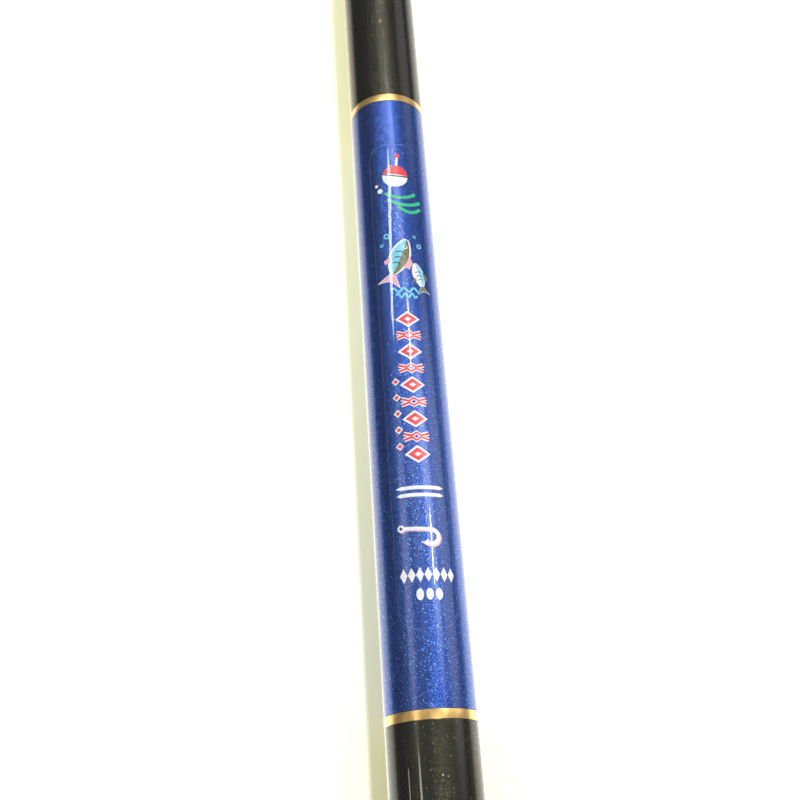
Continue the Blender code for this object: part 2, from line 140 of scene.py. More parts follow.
def turn(name, rings, sides=ROUND):
    """A piece of revolution about the pole's axis, carried from ring to ring. A radius of 0 closes an end,
    and otherwise the last ring is joined to the first."""
    deselect()
    closed = rings[0][1] == 0
    path = rings[1:] if closed else rings + rings[:1]
    place = {"location": (0, path[0][0], AXIS), "rotation": (pi / 2, 0, 0)}
    bpy.ops.mesh.primitive_circle_add(vertices=sides, radius=path[0][1], fill_type="NOTHING", **place)
    piece = bpy.context.object
    piece.name = name
    piece.data.name = name
    bpy.ops.object.transform_apply()
    bpy.ops.object.mode_set(mode="EDIT")
    bpy.ops.mesh.select_mode(type="VERT")
    bpy.ops.mesh.select_all(action="SELECT")
    if closed:
        carry(path[0], rings[0])
        bpy.ops.mesh.select_all(action="INVERT")
    for ring, to in zip(path, path[1:]):
        carry(ring, to)
    bpy.ops.mesh.select_all(action="SELECT")
    bpy.ops.mesh.remove_doubles(threshold=TOLERANCE)
    bpy.ops.mesh.normals_make_consistent()
    bpy.ops.object.mode_set(mode="OBJECT")
    return piece


def arc(start, end, bulge, steps):
    """Rings from one to the other along a curve that stands out by the bulge half way."""
    rings = []
    for i in range(steps + 1):
        share = i / steps
        swell = bulge * 4 * share * (1 - share)
        y = start[0] + (end[0] - start[0]) * share
        rings.append((y, start[1] + (end[1] - start[1]) * share + swell))
    return rings


def ribs(middles, half, radius, bulge, steps=8):
    """Rings of round ribs on a cylinder, or of grooves where the bulge is negative."""
    rings = []
    for middle in middles:
        rings += arc((middle - half, radius), (middle + half, radius), bulge, steps)
    return rings


def quarter(y_from, r_from, y_to, r_to, steps, first_along):
    """Rings of a quarter round between two corners. It leaves the first along the axis or across it."""
    rings = []
    for i in range(steps + 1):
        turned = pi / 2 * i / steps
        near, far = 1 - cos(turned), sin(turned)
        along, across = (far, near) if first_along else (near, far)
        rings.append((y_from + (y_to - y_from) * along, r_from + (r_to - r_from) * across))
    return rings


def stations(start, end, steps, first=0):
    return [start + (end - start) * i / steps for i in range(first, steps + 1)]


def polar(piece):
    """The stations, radii and angles of a piece's points."""
    points = np.empty(len(piece.data.vertices) * 3)
    piece.data.vertices.foreach_get("co", points)
    x, y, z = points.reshape(-1, 3).T
    return y, np.hypot(x, z - AXIS), np.arctan2(z - AXIS, x)


def set_radii(piece, y, radii, angles):
    points = np.stack([radii * np.cos(angles), y, AXIS + radii * np.sin(angles)], axis=1)
    piece.data.vertices.foreach_set("co", points.ravel())
    piece.data.update()


def finished(piece, body, node, slot, *materials):
    """Smooths a piece that stands for one CAD node, and gives it its materials and its place."""
    smoothed(piece)
    for material in materials:
        piece.data.materials.append(material)
    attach(piece, body)
    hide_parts(node)


# Materials

WHITE = (1.0, 1.0, 1.0)
HALF = (0.5, 0.5, 0.5)


class Nodes:
    """The nodes of a material, of a lamp or of the room, and the shader that they end in."""

    def __init__(self, owner, shader):
        owner.use_nodes = True
        self.tree = owner.node_tree
        self.shader = self.tree.nodes[shader]

    def give(self, **inputs):
        """Sets the shader's sockets, by their names with underscores for spaces."""
        for name, value in inputs.items():
            self.set(self.shader.inputs[name.replace("_", " ")], value)

    def set(self, socket, value):
        if isinstance(value, bpy.types.NodeSocket):
            self.tree.links.new(value, socket)
        elif isinstance(value, tuple) and len(value) == 3 and socket.type == "RGBA":
            socket.default_value = (*value, 1.0)
        else:
            socket.default_value = value

    def add(self, kind, settings=None, **inputs):
        node = self.tree.nodes.new("ShaderNode" + kind)
        for name, value in (settings or {}).items():
            setattr(node, name, value)
        for name, value in inputs.items():
            self.set(node.inputs[name.replace("_", " ")], value)
        return node

    def fed(self, kind, settings, *values):
        """A node's outputs, with values for its first inputs."""
        node = self.add(kind, settings)
        for socket, value in zip(node.inputs, values):
            self.set(socket, value)
        return node.outputs

    def object_place(self):
        return self.add("TexCoord").outputs["Object"]

    def number(self, operation, a, b=0.0, c=0.0):
        return self.fed("Math", {"operation": operation}, a, b, c)[0]

    def vector(self, operation, a, b=(0, 0, 0), scale=1.0):
        made = self.fed("VectorMath", {"operation": operation}, a, b, (0, 0, 0), scale)
        return made["Value" if operation in ("LENGTH", "DOT_PRODUCT") else "Vector"]

    def noise(self, scale, detail=3.0, roughness=0.5, place=None, along=1.0):
        """Noise over the object or another place. A low value of along draws it out on the pole's axis."""
        if place is None:
            place = self.vector("MULTIPLY", self.object_place(), (1.0, along, 1.0))
        node = self.add("TexNoise", Vector=place, Scale=scale, Detail=detail, Roughness=roughness)
        return node.outputs["Fac"]

    def cells(self, scale):
        return self.add("TexVoronoi", Vector=self.object_place(), Scale=scale).outputs

    def ramp(self, value, colours, places=(0.30, 0.70)):
        """Colours by value, each at its own place."""
        node = self.add("ValToRGB", Fac=value)
        elements = node.color_ramp.elements
        for i, (place, colour) in enumerate(zip(places, colours)):
            element = elements[i] if i < 2 else elements.new(place)
            element.position = place
            element.color = (*colour, 1.0)
        return node.outputs["Color"]

    def mixed(self, share, first, second):
        node = self.add("Mix", {"data_type": "RGBA"})
        for socket, value in zip((0, 6, 7), (share, first, second)):
            self.set(node.inputs[socket], value)
        return node.outputs[2]

    def bump(self, height, distance):
        return self.add("Bump", Height=height, Distance=distance, Strength=1.0).outputs["Normal"]

    def stepped(self, value, low, high):
        """0 below the low value and 1 above the high one."""
        return self.fed("MapRange", {"interpolation_type": "SMOOTHSTEP"}, value, low, high)["Result"]

    def separated(self, vector):
        return self.add("SeparateXYZ", Vector=vector).outputs


class Finish(Nodes):
    """A material on one Principled shader."""

    def __init__(self, name, **inputs):
        self.material = bpy.data.materials.new(name)
        super().__init__(self.material, "Principled BSDF")
        self.give(**inputs)


FINE_FLAKE = 0.00010
BRIGHT_FLAKE = 0.00020
FINE_TILT = 0.31
BRIGHT_TILT = 0.13
SKIN_DEPTH = 0.000014
THIN_INK = 0.78  # how dark ink is where it covers least


def flake_normal(look, fine, bright):
    """The surface normal, tilted at random in each flake's cell."""
    small = look.vector("SCALE", look.vector("SUBTRACT", fine, HALF), scale=FINE_TILT)
    large = look.vector("SCALE", look.vector("SUBTRACT", bright, HALF), scale=BRIGHT_TILT)
    normal = look.add("NewGeometry").outputs["Normal"]
    lean = look.vector("ADD", small, large)
    return look.vector("NORMALIZE", look.vector("ADD", normal, lean))


def lacquer_skin(look):
    """The slow waves and fine orange peel of a brushed clear coat."""
    slow = look.noise(210, 1.0)
    peel = look.noise(1300, 2.0)
    return look.bump(look.number("MULTIPLY_ADD", peel, 0.12, slow), SKIN_DEPTH)


def flake_lacquer(name, base, spark, edge, rarity, roughness):
    """Metal flakes under a thick clear coat, in a tinted base of three colours from deep to light."""
    look = Finish(name, Metallic=1.0, Roughness=roughness, Specular_Tint=edge)
    look.give(Coat_Weight=1.0, Coat_Roughness=0.02, Coat_IOR=1.6)
    fine = look.cells(1 / FINE_FLAKE)["Color"]
    bright = look.cells(1 / BRIGHT_FLAKE)["Color"]
    flakes = look.ramp(look.separated(fine)["X"], base, (0.0, 0.6, 1.0))
    chosen = look.stepped(look.separated(bright)["Y"], rarity, rarity + 0.01)
    colour = look.mixed(chosen, flakes, spark)
    drift = look.number("MULTIPLY", look.noise(60, 3.0, along=0.5), 0.35)
    look.give(
        Base_Color=look.mixed(drift, colour, base[0]),
        Normal=flake_normal(look, fine, bright),
        Coat_Normal=lacquer_skin(look),
    )
    return look.material


def grained(name, grain, colours, places=(0.30, 0.70), along=1.0, gloss=None, relief=0, grit=None, **inputs):
    """A material whose colour follows one noise, and so does its roughness where gloss is given. Relief is
    how deep that noise, or the noise of a finer grit, stands out. Without relief it has a lacquer skin."""
    look = Finish(name, **inputs)
    drift = look.noise(*grain, along=along)
    look.give(Base_Color=look.ramp(drift, colours, places))
    if gloss:
        look.give(Roughness=look.number("MULTIPLY_ADD", drift, *gloss))
    if relief:
        look.give(Normal=look.bump(look.noise(*grit) if grit else drift, relief))
    else:
        look.give(Coat_Normal=lacquer_skin(look))
    return look.material


def ink(name, colour):
    """Screen-printed ink under the clear coat, with a little uneven cover."""
    thin = tuple(THIN_INK * channel for channel in colour)
    coat = {"Coat_Weight": 1.0, "Coat_Roughness": 0.03, "Coat_IOR": 1.55}
    return grained(name, (2600, 3.0), (thin, colour), (0.30, 0.55), Roughness=0.45, **coat)


def turned_metal(name, colour):
    """Metal with the fine rings that a lathe tool leaves, on its ends and on its rims alike."""
    look = Finish(name, Metallic=1.0)
    place = look.separated(look.vector("SUBTRACT", look.object_place(), (0, 0, AXIS)))
    radius = look.vector("LENGTH", look.add("CombineXYZ", X=place["X"], Y=place["Z"]).outputs[0])
    cut = look.add("CombineXYZ", X=radius, Y=place["Y"]).outputs[0]
    rings = look.noise(5200, 3.0, 0.7, cut)
    wear = look.noise(150, 4.0)
    bright = tuple(min(1.0, 1.12 * channel) for channel in colour)
    dull = tuple(0.80 * channel for channel in colour)
    smear = look.number("MULTIPLY_ADD", wear, 0.10, 0.14)
    look.give(
        Base_Color=look.ramp(rings, (dull, bright)),
        Roughness=look.number("MULTIPLY_ADD", rings, 0.14, smear),
        Normal=look.bump(rings, 0.0000045),
    )
    return look.material


def foam():
    """The buffer's closed-cell rubber foam."""
    look = Finish("Buffer foam", Roughness=0.85, Specular_IOR_Level=0.3)
    cells = look.cells(1700)["Distance"]
    look.give(
        Base_Color=look.ramp(cells, ((0.018, 0.018, 0.019), (0.050, 0.050, 0.052)), (0.05, 0.60)),
        Normal=look.bump(cells, 0.00018),
    )
    return look.material


TAPE_PITCH = 0.0022


def bare_carbon():
    """Unlacquered carbon cloth with the ridges of its winding tape."""
    look = Finish("Bare carbon", Specular_IOR_Level=0.5)
    along = look.separated(look.object_place())["Y"]
    tape = look.number("SINE", look.number("MULTIPLY", along, 2 * pi / TAPE_PITCH))
    mottle = look.noise(700, 3.0)
    look.give(
        Base_Color=look.ramp(mottle, ((0.015, 0.015, 0.016), (0.027, 0.027, 0.028))),
        Roughness=look.number("MULTIPLY_ADD", mottle, 0.2, 0.35),
        Normal=look.bump(look.number("MULTIPLY_ADD", mottle, 0.5, tape), 0.00002),
    )
    return look.material


BLUE = flake_lacquer(
    "Blue flake film", ((0.018, 0.042, 0.215), (0.033, 0.092, 0.445), (0.085, 0.215, 0.680)),
    spark=(0.21, 0.49, 0.90), edge=(0.26, 0.34, 0.60), rarity=0.956, roughness=0.27,
)
OLIVE = flake_lacquer(
    "Olive black lacquer", ((0.020, 0.019, 0.014), (0.033, 0.032, 0.020), (0.084, 0.077, 0.041)),
    spark=(0.50, 0.34, 0.18), edge=(0.235, 0.235, 0.23), rarity=0.988, roughness=0.23,
)
GOLD = grained(
    "Gold foil", (1100, 4.0), ((0.92, 0.54, 0.14), (1.0, 0.72, 0.30)), (0.25, 0.75),
    gloss=(0.10, 0.25), relief=0.0000006, Metallic=1.0, Coat_Weight=0.7, Coat_Roughness=0.05,
)
SLEEVE = grained(
    "Grip rubber", (90, 3.0), ((0.011, 0.011, 0.011), (0.024, 0.023, 0.022)), (0.30, 0.75),
    gloss=(0.20, 0.55), relief=0.00006, grit=(3200, 4.0, 0.6), Specular_IOR_Level=0.35,
)
ALUMINIUM = turned_metal("Turned aluminium", (0.66, 0.66, 0.67))
GILT = turned_metal("Gilt turned hoop", (0.90, 0.62, 0.26))
SEAL = grained(
    "Seal rubber", (900, 3.0), ((0.010, 0.010, 0.011), (0.019, 0.019, 0.020)),
    gloss=(0.25, 0.45), relief=0.00003, grit=(2400, 3.0), Specular_IOR_Level=0.4,
)
FOAM = foam()
PLASTIC = grained(
    "Moulded black plastic", (120, 2.0), ((0.010, 0.010, 0.011), (0.017, 0.017, 0.018)),
    gloss=(0.18, 0.34), relief=0.00003, grit=(2100, 3.0),
)
TIP = grained(  # over glass fibres that run along the tip
    "Pale tip lacquer", (1400, 3.0), ((0.50, 0.45, 0.36), (0.74, 0.70, 0.60)),
    along=0.04, Roughness=0.35, Coat_Weight=0.8, Coat_Roughness=0.06,
)
BRAID = grained(
    "Braid fibre", (9000, 4.0), ((0.30, 0.012, 0.010), (0.62, 0.045, 0.030)),
    along=0.2, relief=0.00004, Roughness=0.80, Sheen_Weight=0.4, Sheen_Roughness=0.5,
)
CARBON = bare_carbon()
WHITE_INK = ink("White ink", (0.86, 0.86, 0.88))
RED_INK = ink("Red ink", (0.80, 0.035, 0.045))
GREEN_INK = ink("Green ink", (0.015, 0.50, 0.22))
CYAN_INK = ink("Cyan ink", (0.16, 0.62, 0.80))
OLIVE_INK = ink("Olive ink", (0.16, 0.16, 0.05))
PINK_INK = ink("Pink ink", (0.85, 0.42, 0.50))
SLATE_INK = ink("Slate ink", (0.025, 0.030, 0.045))
TRANSFER_EDGE = grained(  # the raised edge of the clear carrier
    "Transfer edge", (1800, 2.0), ((0.08, 0.14, 0.43), (0.12, 0.20, 0.57)),
    relief=0.00001, Metallic=0.6, Roughness=0.3, Coat_Weight=1.0, Coat_Roughness=0.05,
)


# The butt

def bared(piece, bore, ground=-inf):
    """Shows bare carbon inside a bore, and on a rear end that is ground for the joint."""
    for face in piece.data.polygons:
        centre = face.center
        if hypot(centre.x, centre.z - AXIS) < bore(centre.y) or centre.y < ground:
            face.material_index = 1


def butt_tube():
    """The lacquered butt, with a seat turned into it for the label and its bands."""
    rear, front = ends_of("butt_tube")
    seat_rear = ends_of("rear_gold_band")[0] - WRAP_GAP
    seat_front = ends_of("front_gold_band")[1] + WRAP_GAP
    depth = FILM + WRAP_GAP
    rings = [on_butt(rear), on_butt(seat_rear), on_butt(seat_rear, depth), on_butt(seat_front, depth)]
    rings += [on_butt(seat_front), on_butt(front), on_butt(front, BUTT_WALL), on_butt(rear, BUTT_WALL)]
    piece = turn("butt_tube_lacquered", rings, LABEL_ROUND)
    bevelled(piece, 0.00005)
    finished(piece, "butt", "butt_tube", "olive_lacquer", OLIVE, CARBON)
    bared(piece, lambda y: butt_radius(y) - BUTT_WALL * 0.9)


def label_film():
    rear, front = ends_of("label_wrap")
    rings = [on_butt(rear), on_butt(front), on_butt(front, FILM), on_butt(rear, FILM)]
    piece = turn("label_film", rings, LABEL_ROUND)
    bevelled(piece, 0.00006)
    finished(piece, "butt", "label_wrap", "blue_flake", BLUE)


BAND_CROWN = 0.00004


def gold_band(node, name):
    rear, front = ends_of(node)
    rings = arc(on_butt(rear, -BAND_CROWN), on_butt(front, -BAND_CROWN), BAND_CROWN, 6)
    rings += [on_butt(front, FILM), on_butt(rear, FILM)]
    finished(turn(name, rings, LABEL_ROUND), "butt", node, "gold", GOLD)


CORD_TURNS = 4  # cords wound each way under the sleeve
CORD_PITCH = 0.036
CORD_HEIGHT = 0.00032
CORD_WIDTH = 0.0016
SLEEVE_WALL = 0.0006
SLEEVE_BEAD = 0.004
SLEEVE_FADE = 0.0015  # length over which the net begins
SLEEVE_ROLL = 0.0004
SLEEVE_STEPS = 400


def grip_sleeve():
    """A shrunk sleeve over crossing cords, which stand out through it as a net of soft ridges."""
    rear, front = ends_of("grip_sleeve")
    height = WRAP_GAP + SLEEVE_WALL
    rings = [on_butt(y, -height) for y in stations(rear, front, SLEEVE_STEPS)]
    rings += [on_butt(front, -WRAP_GAP), on_butt(rear, -WRAP_GAP)]
    piece = turn("grip_sleeve_netted", rings)
    y, radii, angles = polar(piece)
    outside = radii > butt_radius(y) + WRAP_GAP + 0.5 * SLEEVE_WALL
    girth = 2 * pi * BUTT_REAR_RADIUS
    relief = np.zeros(len(y))
    for hand in (1, -1):
        phase = (angles / (2 * pi) + hand * (y - rear) / CORD_PITCH) * CORD_TURNS
        distance = np.abs(phase - np.round(phase)) * girth / CORD_TURNS
        distance *= cos(atan2(girth, CORD_PITCH))
        relief = np.maximum(relief, np.exp(-((distance / (CORD_WIDTH / 2)) ** 2)))
    edge = np.minimum(y - rear, front - y)
    inset = np.clip((edge - SLEEVE_BEAD) / SLEEVE_FADE, 0, 1)
    roll = np.clip(1 - edge / SLEEVE_ROLL, 0, 1)
    level = -CORD_HEIGHT * (1 - relief) * inset - SLEEVE_ROLL * (1 - np.sqrt(1 - roll**2)) * 0.9
    set_radii(piece, y, radii + np.where(outside, level, 0.0), angles)
    finished(piece, "butt", "grip_sleeve", "rubber", SLEEVE)


HOOP_WALL = 0.0005
HOOP_LIP = 0.0009
HOOP_GROOVE_INSET = 0.0030
HOOP_GROOVE_HALF = 0.0005
HOOP_GROOVE_DEPTH = 0.00018


def mouth_hoop():
    rear, front = ends_of("mouth_hoop")
    mouth_radius = butt_radius(ends_of("butt_tube")[1])
    inside = butt_radius(rear) + WRAP_GAP
    outside = inside + HOOP_WALL
    bore = mouth_radius - BUTT_WALL + WRAP_GAP
    middles = (rear + HOOP_GROOVE_INSET, front - HOOP_GROOVE_INSET)
    rings = [(rear, outside)] + ribs(middles, HOOP_GROOVE_HALF, outside, -HOOP_GROOVE_DEPTH)
    rings += [(front, outside), (front, bore), (front - HOOP_LIP, bore)]
    rings += [(front - HOOP_LIP, mouth_radius + WRAP_GAP), (rear, inside)]
    piece = turn("mouth_hoop_turned", rings)
    bevelled(piece, 0.00022, 3)
    finished(piece, "butt", "mouth_hoop", "gold", GILT)


THREAD_PITCH = 0.0015
THREAD_DEPTH = 0.00042
THREAD_RINGS = 60
THREAD_GAP = 0.00015
FLANK = 1.35  # how steeply a tooth's sides rise
BUSH_BORE = girth_of("section_2") + 0.00025  # section 2 passes through it


def threaded(radii, y, angles, chosen, start, end, depth):
    """Takes a helical groove out of a thread's crest radius, running out at both ends."""
    phase = (y - start) / THREAD_PITCH + angles / (2 * pi)
    tooth = np.abs(2 * (phase - np.floor(phase)) - 1)
    flank = np.clip(tooth * FLANK - (FLANK - 1) / 2, 0, 1)
    run_out = np.clip(np.minimum(y - start, end - y) / (0.5 * THREAD_PITCH), 0, 1)
    return np.where(chosen, radii - depth * flank * run_out, radii)


def thread_bush():
    rear, front = ends_of("thread_bush")
    outside = girth_of("thread_bush")
    rings = [(rear, outside), (front, outside - TAPER * (front - rear))]
    rings += [(y, BUSH_BORE) for y in stations(front, rear, THREAD_RINGS)]
    piece = turn("thread_bush_cut", rings, SMALL_ROUND)
    y, radii, angles = polar(piece)
    inner = radii < (outside + BUSH_BORE) / 2
    radii = threaded(radii, y, angles, inner, rear, front, -0.6 * THREAD_DEPTH)
    set_radii(piece, y, radii, angles)
    finished(piece, "butt", "thread_bush", "aluminium", ALUMINIUM)


# The cap

SIDE_GAP = 0.0003
RIM_LENGTH = 0.0070
CAP_ROUNDING = 0.0012
FACE_ROUNDING = 0.0004
CAP_FLOOR = 0.0040
CUP_WALL = 0.0017
GROOVE_INSET = 0.0014
SEAL_LAND = 0.0017
THREAD_LENGTH = 0.0075
FLUTES = 16
FLUTE_RADIUS = 0.0021
FLUTE_DEPTH = 0.00050
FLUTE_SOFTNESS = 0.00005
SLOT_LENGTH = 0.0170
SLOT_WIDTH = 0.0022
SLOT_DEPTH = 0.0022
PAD_THICKNESS = 0.0030
PAD_ROUNDING = 0.0006

THREAD_RADIUS = BUSH_BORE - THREAD_GAP
CUP_BORE = THREAD_RADIUS - CUP_WALL
GROOVE_RADIUS = BUTT_REAR_RADIUS - BUTT_WALL - GROOVE_INSET


def fluted(piece, start, end):
    """Presses straight flutes into a rim between two stations, fading out over the rounded edges."""
    y, radii, angles = polar(piece)
    spacing = 2 * pi / FLUTES
    count = (angles + pi / 2) / spacing
    off = np.abs(count - np.round(count)) * spacing
    across = RIM_RADIUS * np.sin(off)
    centre = RIM_RADIUS - FLUTE_DEPTH + FLUTE_RADIUS
    reach = np.sqrt(np.clip(FLUTE_RADIUS**2 - across**2, 0, None))
    floor = np.where(across < FLUTE_RADIUS, centre * np.cos(off) - reach, 1.0)
    on_rim = (y > start - TOLERANCE) & (y < end + TOLERANCE) & (radii > RIM_RADIUS * 0.8)
    soft = FLUTE_SOFTNESS * np.log1p(np.exp(-np.clip((radii - floor) / FLUTE_SOFTNESS, -40, 40)))
    set_radii(piece, y, np.where(on_rim, np.minimum(radii, floor + soft), radii), angles)


def coin_slot(piece, rear):
    """Cuts the coin slot across the cap's rear face."""
    deselect()
    bpy.ops.mesh.primitive_cube_add(size=1, location=(0, rear, AXIS))
    cutter = bpy.context.object
    cutter.scale = (SLOT_LENGTH, 2 * SLOT_DEPTH, SLOT_WIDTH)
    bpy.ops.object.transform_apply()
    corners = cutter.data.vertices
    weights = cutter.data.attributes.new("bevel_weight_edge", "FLOAT", "EDGE")
    for edge in cutter.data.edges:
        first, second = (corners[i].co.y for i in edge.vertices)
        if abs(first - second) > SLOT_DEPTH:
            weights.data[edge.index].value = 1.0
    apply_modifier(cutter, "BEVEL", width=SLOT_WIDTH * 0.499, segments=8, limit_method="WEIGHT")
    apply_modifier(piece, "BOOLEAN", operation="DIFFERENCE", solver="EXACT", object=cutter)
    bpy.data.objects.remove(cutter)


def butt_cap():
    """The fluted screw cap, with the seal's groove, the thread and the buffer's cup."""
    rear = ends_of("butt_cap")[0]
    face = rear + RIM_LENGTH
    land = face + SEAL_LAND
    end = land + THREAD_LENGTH
    cup = rear + CAP_FLOOR
    flat = RIM_RADIUS - CAP_ROUNDING
    rings = [(rear, 0.0), (rear, flat * 0.5), (rear, flat)]
    rings += quarter(rear, flat, rear + CAP_ROUNDING, RIM_RADIUS, 8, False)[1:]
    rings += [(y, RIM_RADIUS) for y in stations(rear + CAP_ROUNDING, face - FACE_ROUNDING, 7, 1)]
    rings += quarter(face - FACE_ROUNDING, RIM_RADIUS, face, RIM_RADIUS - FACE_ROUNDING, 4, True)[1:]
    rings += [(face, GROOVE_RADIUS), (land, GROOVE_RADIUS)]
    rings += [(y, THREAD_RADIUS) for y in stations(land, end, THREAD_RINGS)]
    rings += [(end, CUP_BORE), (cup, CUP_BORE), (cup, CUP_BORE * 0.5), (cup, 0.0)]
    piece = turn("butt_cap_fluted", rings, FLUTED)
    fluted(piece, rear, face)
    y, radii, angles = polar(piece)
    crest = (y > land - TOLERANCE) & (radii > (THREAD_RADIUS + GROOVE_RADIUS) / 2)
    set_radii(piece, y, threaded(radii, y, angles, crest, land, end, THREAD_DEPTH), angles)
    coin_slot(piece, rear)
    finished(piece, "cap", "butt_cap", "aluminium", ALUMINIUM)


def cap_seal():
    rear, front = ends_of("cap_seal")
    wire = (front - rear) / 2
    deselect()
    place = {"location": (0, (rear + front) / 2, AXIS), "rotation": (pi / 2, 0, 0)}
    radii = {"major_radius": girth_of("cap_seal") - wire, "minor_radius": wire}
    bpy.ops.mesh.primitive_torus_add(major_segments=SMALL_ROUND, minor_segments=24, **radii, **place)
    piece = bpy.context.object
    piece.name = "cap_seal_ring"
    bpy.ops.object.transform_apply()
    finished(piece, "cap_ring", "cap_seal", "rubber", SEAL)


def cap_buffer():
    rear, front = ends_of("cap_buffer")
    stem = CUP_BORE - SIDE_GAP
    pad = girth_of("cap_buffer")
    shoulder = front - PAD_THICKNESS
    rings = [(rear, 0.0), (rear, stem * 0.5), (rear, stem), (shoulder, stem), (shoulder, pad)]
    rings += quarter(front - PAD_ROUNDING, pad, front, pad - PAD_ROUNDING, 5, True)
    rings += [(front, pad * 0.5), (front, 0.0)]
    finished(turn("cap_buffer_foam", rings, SMALL_ROUND), "cap", "cap_buffer", "rubber", FOAM)


# The nested sections

# Each one's body, wall, facets in the CAD, and sides as it is drawn
SECTIONS = {
    2: ("second", 0.00070, 32, 160),
    3: ("third", 0.00063, 24, 144),
    4: ("fourth", 0.00056, 24, 128),
    5: ("fifth", 0.00049, 24, 112),
    6: ("sixth", 0.00042, 16, 96),
    7: ("seventh", 0.00035, 16, 80),
}
COLLAR_LENGTH = 0.018
COLLAR_HEIGHT = 0.00018
COLLAR_RAMP = 0.0015
GROUND_LENGTH = 0.052  # the rear end is ground bare so that it wedges well
GROUND_STEP = 0.0004  # length over which the lacquer begins
CHAMFER = 0.0001
COAT = 0.00002  # lacquer on the carbon
COAT_BEAD = 0.00003


def cone_of(node, facets):
    """A section's ends, and its outer radius by station."""
    rear, front = ends_of(node)
    widest = girth_of(node, facets)
    return rear, front, lambda y: widest - TAPER * (y - rear)


def section(number, body, wall, facets, sides):
    """A tapered carbon tube with a ground rear end and a thicker collar at its mouth."""
    node = f"section_{number}"
    rear, front, outer = cone_of(node, facets)
    collar = front - COLLAR_LENGTH
    ground = rear + GROUND_LENGTH
    collar_radius = outer(collar) + COLLAR_HEIGHT
    rings = [
        (rear, outer(rear) - CHAMFER),
        (rear + CHAMFER, outer(rear)),
        (ground, outer(ground) - COAT),
        (ground + GROUND_STEP, outer(ground) + COAT_BEAD),
        (ground + 4 * GROUND_STEP, outer(ground) + COAT),
        (collar - 2 * COLLAR_RAMP, outer(collar) + COAT),
    ]
    rings += quarter(collar - COLLAR_RAMP, outer(collar) + COAT, collar, collar_radius, 4, True)
    rings += [
        (front - 3 * CHAMFER, outer(front) + COLLAR_HEIGHT),
        (front, outer(front) + COLLAR_HEIGHT - CHAMFER),
        (front, outer(front) - wall),
        (rear, outer(rear) - wall),
    ]
    piece = turn(f"section_{number}_lacquered", rings, sides)
    finished(piece, body, node, "olive_lacquer", OLIVE, CARBON)
    bared(piece, lambda y: outer(y) - wall * 0.5, ground + CHAMFER)


def tip_section():
    """The hollow tip tube, and the solid glass fibre tip spliced into it."""
    rear, front, outer = cone_of("tip_tube", 16)
    ground = rear + GROUND_LENGTH
    rings = [(rear, outer(rear) - 0.8 * CHAMFER), (rear + CHAMFER, outer(rear)), (ground, outer(ground))]
    rings += [(ground + GROUND_STEP, outer(ground) + COAT), (front, outer(front))]
    rings += [(front, outer(front) - TIP_WALL), (rear, outer(rear) - TIP_WALL)]
    piece = turn("tip_tube_lacquered", rings, TIP_ROUND)
    finished(piece, "tip", "tip_tube", "olive_lacquer", OLIVE, CARBON)
    bared(piece, lambda y: outer(y) - 0.5 * TIP_WALL, ground)

    start, end = ends_of("solid_tip")
    gap = 0.5 * CHAMFER
    shoulder = front + gap
    spigot = outer(front) - TIP_WALL - gap
    rings = [(start, 0.0), (start, spigot - gap), (start + gap, spigot), (shoulder, spigot)]
    rings += [(shoulder, outer(shoulder)), (end, outer(end)), (end, 0.0)]
    finished(turn("solid_tip_lacquered", rings, 48), "tip", "solid_tip", "tip_white", TIP)


FERRULE_WALL = 0.00035
FERRULE_ROUNDING = 0.00015
FERRULE_CRIMPS = (0.0030, 0.0062)  # from its rear end
CRIMP_HALF = 0.0006
CRIMP_DEPTH = 0.00012


def tip_ferrule():
    rear, front = ends_of("tip_ferrule")
    outside = girth_of("tip_ferrule", 12)
    bore = outside - FERRULE_WALL
    edge = outside - FERRULE_ROUNDING
    rings = quarter(rear, edge, rear + FERRULE_ROUNDING, outside, 4, False)
    rings += ribs([rear + crimp for crimp in FERRULE_CRIMPS], CRIMP_HALF, outside, -CRIMP_DEPTH)
    rings += quarter(front - FERRULE_ROUNDING, outside, front, edge, 4, True)
    rings += [(front, bore), (rear, bore)]
    piece = turn("tip_ferrule_crimped", rings, TIP_ROUND)
    finished(piece, "tip", "tip_ferrule", "aluminium", ALUMINIUM)


BRAID_RADIUS = 0.00058
BRAID_NECK = 0.00040  # its radius inside the ferrule
BRAID_PITCH = 0.0036
BRAID_STRANDS = 4
BRAID_RELIEF = 0.00012
BRAID_STEPS = 150
KNOT_INSET = 0.0035
KNOT_HALF = 0.00095
KNOT_SWELL = 0.00050
KNOT_RELIEF = 0.00010


